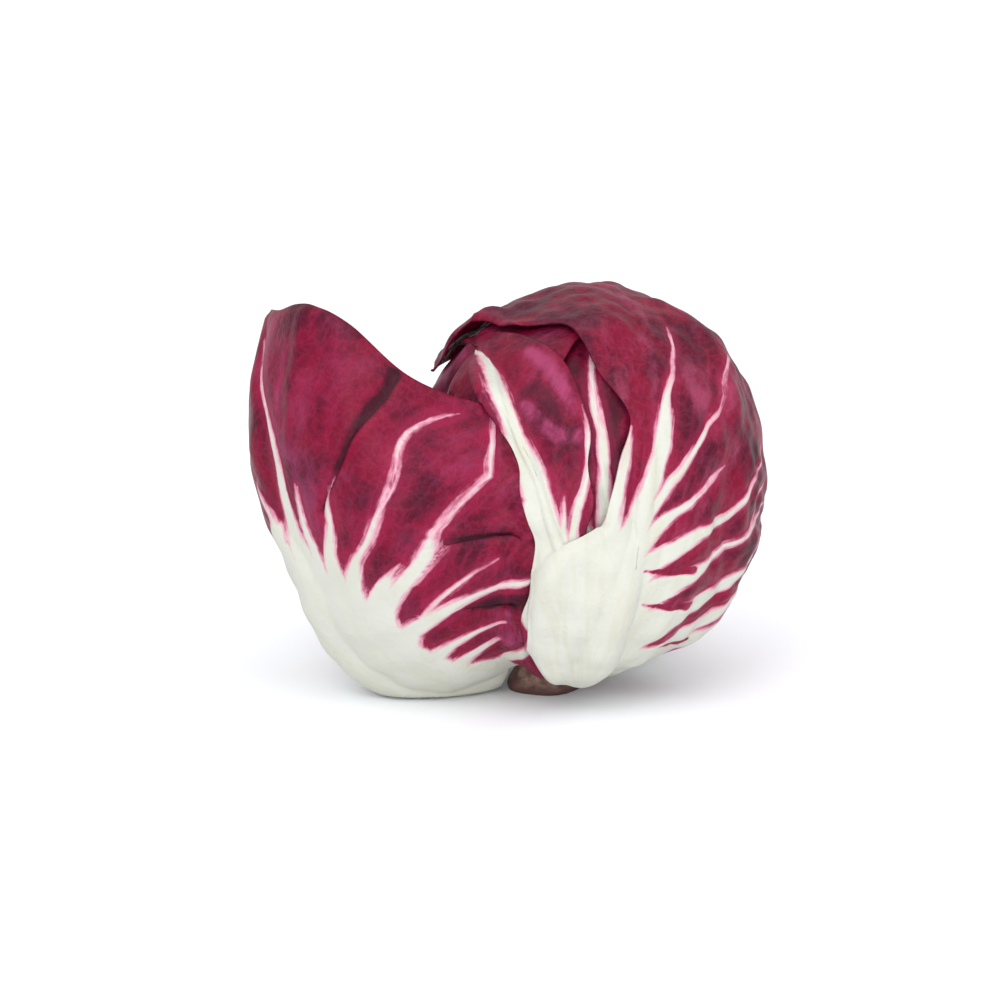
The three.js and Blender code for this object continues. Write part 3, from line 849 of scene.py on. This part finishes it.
buildLeaf("left_leaf", {
    "azimuth": -160, "start": 16, "blade": 1.0, "rib": (1.6, 5), "curl": 1.2, "waves": 3, "seed": 14,
    "left": [(16, -12), (60, -46), (110, -58), (150, -48), (178, -30)],
    "right": [(16, 12), (60, 40), (110, 42), (150, 28), (178, 12)],
    "mid": [(16, 0), (110, -3), (178, -8)],
    "tip": [(-1, 156), (0, 169), (1, 158)],
    "grid": (160, 130), "closer": evenly,
    "veins": [
        [(16, 0, 10), (35, -1, 8), (60, -2, 4), (85, -3, 2.2), (105, -3, 1), (118, -3, 0.0)],
        [(22, 0, 8), (38, -14, 4), (55, -26, 2), (80, -38, 1), (105, -45, 0.3)],
    ],
    "laterals": {"first": 28, "every": 9, "climb": 30, "half": 0.7, "rib": 2.2, "stop": 92},
    "pucker": 0.5,
    # Painted sheen: a lighter greyish mauve patch near the tip
    "lightAndShadeStrokes": [(0.45, 12, [(122, -12, 6), (132, -2, 6)])],
    "look": leafLook(),
})

buildLeaf("loose_leaf", {
    "azimuth": 196, "start": 15, "blade": 1.2, "rib": (3.8, 6), "curl": 0.6, "waves": 3, "seed": 15,
    "left": [(15, -14), (35, -34), (60, -50), (90, -56), (115, -50)],
    "right": [(15, 24), (25, 34), (35, 45), (47, 52), (60, 56), (74, 57), (95, 53), (109, 46), (118, 42)],
    "mid": [(15, 0), (46, -1), (64, 4), (77, 2), (93, 0), (103, -6), (115, -10)],
    "tip": [(-1, 86), (-0.5, 98), (-0.15, 105), (0, 106), (0.15, 107.5), (0.3, 110.5), (0.47, 111.5),
            (0.6, 109), (0.7, 110), (0.8, 113), (0.9, 115), (1, 115)],
    "shown": {"tip": [(-1, 87), (-0.5, 101.5), (-0.25, 106.5), (0, 107.5), (0.15, 108), (0.3, 110.5),
                      (0.47, 111.5), (0.6, 109), (0.7, 110), (0.8, 113), (0.9, 115), (1, 115)],
              "foot": [(-1, 15), (0.3, 15), (0.6, 11), (0.85, 5), (1, 3)]},
    "bow": [(15, 0), (62, 0), (80, 2.6), (92, 2.6), (106, 0), (125, 0)],
    "grid": (190, 200), "closer": evenly,
    "veins": [
        [(15, 0, 10), (28, 4, 15), (40, 6, 13), (50, 8, 10), (60, 8, 6.5), (68, 8, 4), (75, 8, 2.8),
         (82, 8, 1.9), (88, 7, 1.4), (94, 3, 0.8), (98, 0, 0.4), (103, -4, 0.1)],
        [(28, -10, 14), (42, -8, 14), (54, -6, 12), (63, -3, 9), (70, 1, 4), (74, 4, 2), (79, 2, 1.2),
         (83, -4, 0.8), (88, -12, 0.3)],
        [(24, -26, 14), (40, -30, 14), (54, -29, 13), (64, -24, 10), (72, -20, 5), (80, -19, 1.5)],
        [(44, 2, 12), (56, 2, 10), (64, 3, 7), (70, 4, 4), (74, 5, 1.5)],
        [(46, 14, 7), (54, 17, 5), (60, 21, 2.6), (63, 24, 1.2), (66, 27, 0.1)],
        [(60, 10, 4), (68, 11, 2.4), (75, 11.5, 1.3), (82, 12, 0.3)],
        [(50, 12, 6), (60, 13, 4), (68, 14.5, 2.4), (75, 17, 1.4), (80, 18, 0.8), (85, 19, 0.1)],
        [(42, 13, 7), (54, 14, 5), (62, 16, 3), (67, 19, 1.9), (72, 23, 1.3), (80, 27, 0.8), (89, 29, 0.5),
         (96, 28.6, 0.4), (100, 29, 0.4), (104, 30, 0.25), (107, 31.4, 0.0)],
        [(36, 13, 7), (46, 15, 6), (54, 18, 4), (60, 24, 2.6), (66, 30, 1.7), (74, 34, 0.9), (82, 37.5, 0.6),
         (90, 41, 0.55), (92, 42, 0.55), (98, 40.5, 0.55), (105, 38.5, 0.4), (113, 35, 0.1)],
        [(42, 14, 3), (50, 16.5, 2), (54, 18, 1.4), (58, 23, 0.8), (61, 27.5, 0.6), (64, 30.5, 0.45),
         (68, 34, 0.1)],
        [(42, 16, 3), (49, 22, 1.0), (53, 27, 0.6), (56, 33, 0.45), (59, 42, 0.1)],
        [(34, 12, 8), (43, 15, 5), (47, 18, 3.6), (49, 23, 2.6), (50, 28, 2.0), (50, 33, 1.5), (48, 39, 1.1),
         (46, 46, 0.8), (45, 52, 0.4)],
        [(30, 12, 8), (37, 15, 4.5), (39, 19, 2.6), (39, 23, 1.5), (37, 28, 0.9), (34, 33, 0.1)],
        [(26, 12, 8), (32, 15, 4), (33, 19, 2.2), (32, 23, 1.2), (30, 27, 0.2)],
        [(20, 10, 7), (22, 15, 3.2), (22, 20, 2.4), (21, 26, 2.0), (20, 31, 1.2)],
        [(12, -22, 16), (30, -40, 16), (40, -46, 12), (48, -52, 7)],
        [(50, -30, 9), (64, -31, 3.4), (76, -35, 1.7), (88, -41, 0.9), (97, -48, 0.1)],
        [(44, -44, 7), (54, -46, 3), (64, -50, 1.4), (74, -56, 0.2)],
        [(60, -20, 8), (72, -21, 3), (84, -25, 1.5), (94, -31, 0.7), (101, -38, 0.1)],
        [(64, -9, 6), (76, -10, 2.2), (88, -14, 1.1), (97, -19, 0.5), (103, -24, 0.1)],
        [(76, -35, 1.4), (80, -43, 0.8), (85, -50, 0.1)],
        [(84, -25, 1.2), (86, -32, 0.7), (90, -38, 0.1)],
    ],
    "tongues": [
        [(47, 29, 0.2), (44, 31, 1.0), (41, 34, 1.5), (40, 40, 2.2)],
        [(25, 20, 0.2), (26, 25, 1.6), (25, 30, 1.8)],
        [(17, 17, 0.6), (17, 22, 1.4), (16, 28, 1.6)],
    ],
    "folds": [
        (-1.8, [(107, 23, 2.6), (97, 23, 3), (89, 21, 3), (84, 19, 3), (78, 16, 2)]),
        (1.1, [(110, 9, 5), (104, 10, 5), (97, 11, 5), (88, 11, 3)]),
        (0.9, [(73, 32, 1.5), (73, 39, 2.5), (72, 47, 2.5), (70, 50, 2)]),
        (-1.2, [(69, 32, 1.5), (69, 39, 2.5), (68, 47, 2.5), (66, 50, 2)]),
        (-1.5, [(47, 29, 1.5), (44, 31, 2.5), (41, 34, 2.5), (39, 39, 2.5)]),
    ],
    "pucker": 0.6,
    # Painted light and shade: the dark strokes are painted shade in the crease, in the folds and along the
    # right margin; the light ones are painted highlights on raised facets
    "lightAndShadeStrokes": [
        (-1.8, 1.6, [(108, 23, 0.3), (97, 23, 0.5), (89, 21, 0.5), (84, 19, 0.3), (78, 16, 0.0)]),
        (0.4, 5, [(104, 2, 5), (96, 6, 4), (88, 9, 1)]),
        (0.4, 5, [(86, 14, 3), (80, 14, 2), (74, 13, 1)]),
        (-1.6, 1.5, [(70, 33, 0.4), (70, 39, 0.5), (69, 47, 0.5)]),
        (-1.5, 2.5, [(46, 31, 0.5), (43, 34, 1), (40, 40, 1.5), (34, 44, 2)]),
        (-0.5, 4, [(30, 42, 4), (40, 50, 4), (55, 54, 4)]),
        (0.6, 4, [(29, 30, 2), (33, 34, 3), (34, 38, 2)]),
    ],
    "look": leafLook(),
})

buildLeaf("side_leaf", {
    "azimuth": -118, "start": 15, "blade": 1.0, "rib": (2.0, 3.2), "curl": 0.5, "waves": 2, "seed": 16,
    "left": [(15, -6), (35, 7), (54, 15.5), (67, 15), (82, 10), (98, 1), (109, -10), (119, -21), (135, -33),
             (148, -47)],
    "right": [(15, 14), (35, 22), (54, 26), (77, 26), (88, 25), (106, 21), (115, 17), (127, 6), (136, -9),
              (148, -42)],
    "mid": [(15, 2), (35, 14), (54, 20), (68, 19), (83, 13), (99, 4), (112, -8), (125, -20), (135, -30),
            (148, -46)],
    "tip": [(-1, 146), (1, 146)],
    "foot": [(-1, 36), (1, 30)],
    "grid": (190, 70), "closer": evenly, "smooth": 14, "drape": (2.0, 9.0), "fall": 0.46,
    "shown": {"left": [(15, -6), (35, 4), (54, 8.5), (64, 9.5), (72, 10), (82, 8), (90, 4.5), (98, 0.5),
                       (109, -10), (119, -21), (135, -33), (148, -47)]},
    "veins": [
        [(15, 4, 8), (35, 14, 8), (50, 18, 8), (60, 17, 7), (70, 15.5, 5.6), (78, 13, 4.6), (86, 10, 4.0),
         (96, 5, 3.3), (103, 0, 2.8), (109, -5, 2.4), (116, -12, 2.0), (122, -18, 1.5), (128, -25, 0.9),
         (134, -33, 0.3)],
        [(50, 14, 8), (60, 13, 8), (70, 12, 6), (78, 11, 4.5), (86, 8, 3)],
        [(60, 22, 5), (70, 22, 3.2), (78, 21, 2), (85, 21, 1.6), (97, 22, 0.9), (112, 18, 0.6),
         (120, 13, 0.2)],
        [(60, 18, 6), (70, 18, 4), (77, 17.5, 2), (84, 17, 0.8), (90, 16, 0.1)],
    ],
    "pucker": 0.4,
    # Painted light and shade: the light strokes are painted highlight arcs on the swellings, the dark ones
    # painted shade between them
    "lightAndShadeStrokes": [(0.8, 3.5, [(113, -1, 0.3), (110, 4, 0.4), (108, 10, 0.5), (110, 15, 0.4)]),
              (0.7, 4, [(131, -8, 0.2), (128, -2, 0.4), (123, 5, 0.4), (117, 11, 0.3)]),
              (0.5, 4, [(97, 12, 1), (90, 16, 1)]), (-0.5, 4, [(118, -1, 1.5), (115, 6, 1.5)]),
              (-0.4, 5, [(100, 14, 2), (94, 19, 2)])],
    "look": leafLook(),
})

buildLeaf("front_leaf", {
    "azimuth": -71, "start": 15, "blade": 1.1, "rib": (2.6, 7), "curl": 1.0, "waves": 5, "seed": 17,
    "left": [(15, -13), (33, -19), (49, -26), (62, -29), (71, -27), (78, -20), (85, -16.5), (96, -16),
             (112, -14), (125, -16), (139, -24), (153, -28), (163, -35), (175, -44), (200, -51), (212, -57),
             (230, -61)],
    "right": [(15, 13), (33, 34), (50, 52), (70, 66), (90, 72), (120, 66), (150, 50), (180, 38), (228, 26)],
    "mid": [(15, 0), (39, -2), (92, -5), (122, -7), (143, -5), (228, -8)],
    "tip": [(-1, 221), (-0.8, 227), (-0.5, 227), (0, 210), (0.5, 192), (1, 172)],
    "foot": [(-1, 35), (-0.4, 27), (0.1, 20), (0.4, 16), (1, 15)],
    "grid": (270, 180), "closer": [(-1, 1.2), (0.3, 1.2), (0.6, 0.6), (1, 0.6)],
    "veins": [
        [(15, 0, 10), (26, 0, 13), (38, -6, 14), (48, -9, 11), (58, -12, 8), (75, -11, 5.2), (88, -7, 3.6),
         (96, -5, 3.0), (104, -3.4, 2.9), (112, -2.6, 2.9), (119, -2.4, 2.5), (125, -2, 1.6),
         (131, -0.8, 0.7), (138, 1, 0.4), (146, 2.5, 0.25), (155, 3, 0.0)],
        [(44, -11, 7), (62, -14, 6), (75, -14, 4), (92, -15, 2.2), (107, -14, 1.4), (116, -13, 0.4)],
        [(50, -18, 7), (62, -20, 7), (70, -19, 5), (77, -17, 2.5)],
        [(46, -25, 7), (58, -30, 8), (66, -31, 8), (73, -28, 6), (79, -22, 3)],
        [(58, -12, 7), (72, -10, 5), (80, -7, 3.6), (90, -3, 2.4), (99, 1, 1.6), (109, 7, 1.1),
         (119, 12, 0.8), (130, 18, 0.45), (139, 19, 0.3), (150, 22, 0.0)],
        [(64, -7, 6), (74, -5, 4), (82, -2, 2.6), (90, 4, 1.7), (97, 12, 1.0), (106, 19, 0.5),
         (112, 24, 0.0)],
        [(58, -4, 7), (68, -3, 5.6), (74, 1, 4.4), (79, 7, 3.2), (86, 16, 2.2), (90, 24, 1.6), (94, 32, 1.3),
         (103, 38, 0.9), (111, 41, 0.6), (122, 46, 0.3), (132, 48, 0.0)],
        [(52, -4, 7), (60, -1, 6.5), (64, 4, 5.4), (69, 12, 3.6), (75, 23, 2.0), (81, 34, 1.1),
         (88, 45, 0.9), (97, 55, 0.5), (106, 62, 0.0)],
        [(40, 0, 9), (50, 4, 8), (55, 12, 5.8), (57, 20, 4.2), (60, 32, 2.8), (64, 41, 1.8), (71, 55, 1.0),
         (80, 66, 0.2)],
        [(88, 45, 0.9), (92, 47, 0.6), (104, 49, 0.3), (114, 54, 0.0)],
        [(71, 55, 1.0), (76, 56, 0.6), (84, 60, 0.3), (92, 66, 0.0)],
        [(24, 2, 10), (34, 8, 9), (40, 18, 6.4), (42, 26, 4.4), (46, 34, 3.0), (52, 46, 1.6), (60, 58, 0.7),
         (67, 66, 0.1)],
        [(20, 4, 8), (28, 14, 7.4), (34, 25, 5), (38, 36, 3.2), (44, 48, 1.6), (50, 56, 0.3)],
        [(30, -9, 9), (43, -17, 9), (54, -22, 8), (64, -24, 7), (72, -24, 5), (79, -19, 3), (86, -16, 1.2)],
    ],
    "tongues": [
        [(72, 1, 0.3), (73, 9, 0.9), (74, 18, 1.2)],
        [(61, 4, 0.3), (61, 13, 0.9), (60, 22, 1.2)],
        [(44, 16, 0.3), (40, 24, 0.8), (37, 31, 1.2)],
    ],
    "shown": {"left": [(15, -13), (33, -20), (49, -28), (57, -31), (62, -32), (67, -31), (73, -27),
                       (79, -22), (85, -17.5), (96, -16), (112, -14), (125, -16), (139, -24), (153, -28),
                       (163, -35), (175, -44), (200, -51), (212, -57), (230, -61)]},
    "sink": [(4.4, [(46, -28, 5), (54, -32, 6), (61, -34, 8), (67, -33, 9), (73, -29, 8), (79, -22, 5),
                    (84, -17, 3)])],
    "pucker": 0.6,
    "smooth": 22,
    "fanFrom": 20,
    # Painted light and shade: painted shade at the upper left corner, a painted highlight on the top,
    # painted shade along the right edge
    "lightAndShadeStrokes": [(-0.4, 12, [(165, -20, 8), (190, -30, 8)]), (0.35, 8, [(136, 10, 5), (128, 20, 5)]),
              (-0.7, 6, [(60, 52, 4), (90, 50, 4), (110, 46, 4), (125, 40, 3)])],
    "folds": [(-0.6, [(131, 27, 3), (124, 37, 5), (112, 44, 3)])],
    # More bloom and a lighter mauve: partly painted sheen
    "look": leafLook(bloom=0.6, light=tint(152, 70, 100)),
})
print("leaves built")

# Pale floor and plain white surroundings
studio = {
    "floor": tint(242, 244, 248),
    "floorHalf": 3,
    "floorRough": 0.9,
    "surround": 0.8,
    "sky": ((-0.05, -0.45, 1.0), 1.35, 100.0),  # way to the broad light, strength, width in degrees
    "lights": {  # place in metres, size, power
        "key": ((-0.45, -0.9, 0.95), 0.7, 3.4),
        "right": ((0.9, -0.6, 0.6), 0.7, 2.0),
        "low": ((0.0, -1.1, 0.12), 0.6, 4.2),
    },
    "aim": (-0.003, 0.001, 0.056),
    "camera": (-0.00332, -0.872, 0.2734),
    "tilt": 76.0,
    "lens": 108.0,
}


def buildFloor():
    # One square, its half side in metres
    half = studio["floorHalf"]
    corners = np.array([[-half, -half, 0], [half, -half, 0], [half, half, 0], [-half, half, 0]]) / mm
    floor = meshPiece("floor", corners, np.array([[0, 1, 2, 3]]))
    s = Shader("floor")
    shader = s.put("BsdfPrincipled", {"Base Color": studio["floor"], "Roughness": studio["floorRough"]})
    s.put("OutputMaterial", {"Surface": shader.outputs[0]})
    floor.data.materials.append(s.material)


def lightStudio(scene):
    # White surroundings, round area lamps aimed at the head, and one sun as wide as a cloudy sky
    world = bpy.data.worlds.new("studio")
    world.use_nodes = True
    background = world.node_tree.nodes["Background"]
    background.inputs[0].default_value = (1, 1, 1, 1)
    background.inputs[1].default_value = studio["surround"]
    scene.world = world
    scene.view_settings.view_transform = "Standard"

    for name, (place, size, power) in studio["lights"].items():
        lamp = bpy.data.lights.new(name, "AREA")
        lamp.shape = "DISK"
        lamp.size = size
        lamp.energy = power
        light = bpy.data.objects.new(name, lamp)
        light.location = place
        light.rotation_euler = (Vector(studio["aim"]) - Vector(place)).to_track_quat("-Z", "Y").to_euler()
        scene.collection.objects.link(light)
    place, strength, width = studio["sky"]
    lamp = bpy.data.lights.new("sky", "SUN")
    lamp.energy = strength
    lamp.angle = width * degree
    light = bpy.data.objects.new("sky", lamp)
    light.rotation_euler = Vector(place).to_track_quat("Z", "Y").to_euler()
    scene.collection.objects.link(light)


def placeCamera(scene):
    # The photo's view
    view = bpy.data.cameras.new("camera")
    view.lens = studio["lens"]
    view.sensor_width = 36.0
    view.dof.use_dof = False
    camera = bpy.data.objects.new("camera", view)
    camera.location = studio["camera"]
    camera.rotation_euler = (studio["tilt"] * degree, 0, 0)
    scene.collection.objects.link(camera)
    scene.camera = camera


buildFloor()
lightStudio(bpy.context.scene)
placeCamera(bpy.context.scene)
print("studio built")
